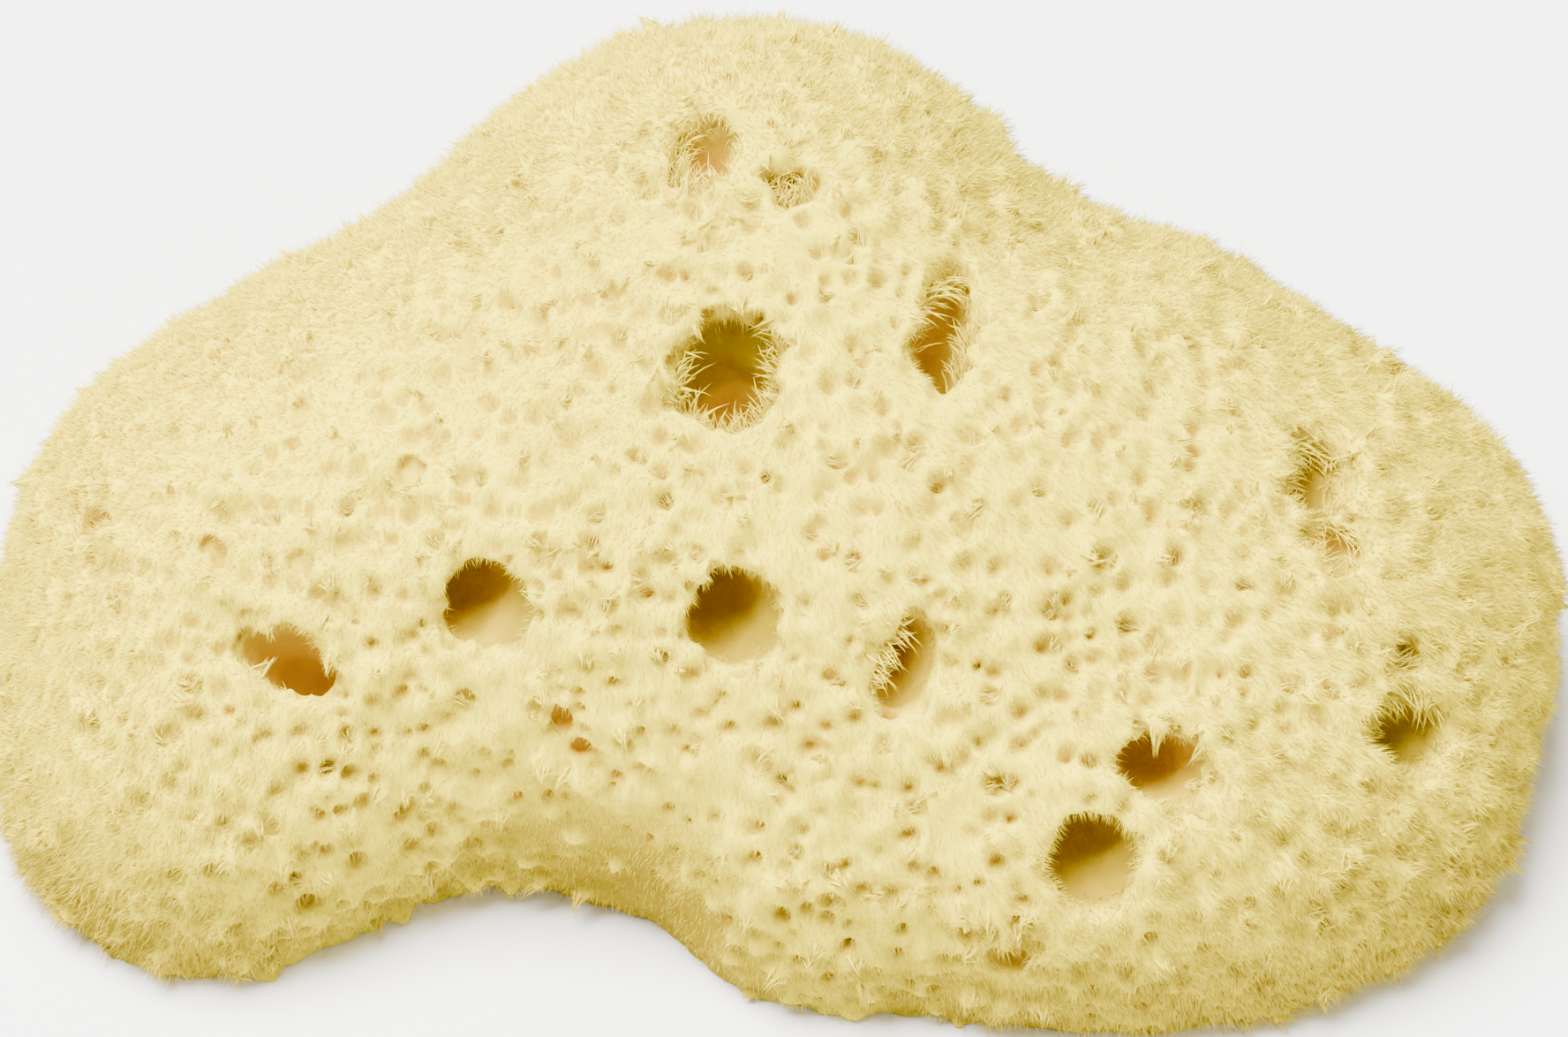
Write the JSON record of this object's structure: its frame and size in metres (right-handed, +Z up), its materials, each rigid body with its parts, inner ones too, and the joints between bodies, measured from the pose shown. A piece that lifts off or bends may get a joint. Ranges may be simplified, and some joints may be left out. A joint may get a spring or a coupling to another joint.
{
  "type": "sea sponge",
  "caption": "Dry bleached silk sea sponge with three rounded lobes, wide blind canals and a flat cut base that it rests on.",
  "frame": {"origin": "on the cut base, under the middle of the sponge's box", "axes": "+Z up, away from the cut base; +X along the length, to the right as seen from the bay; +Y towards the back"},
  "size_m": [0.0896, 0.057, 0.0361],
  "materials": {
    "spongin": "bleached, dry, fuzzy spongin fibre, cream outside and amber in the canals"
  },
  "bodies": {
    "root": {"sponge": "spongin"}
  },
  "joints": []
}
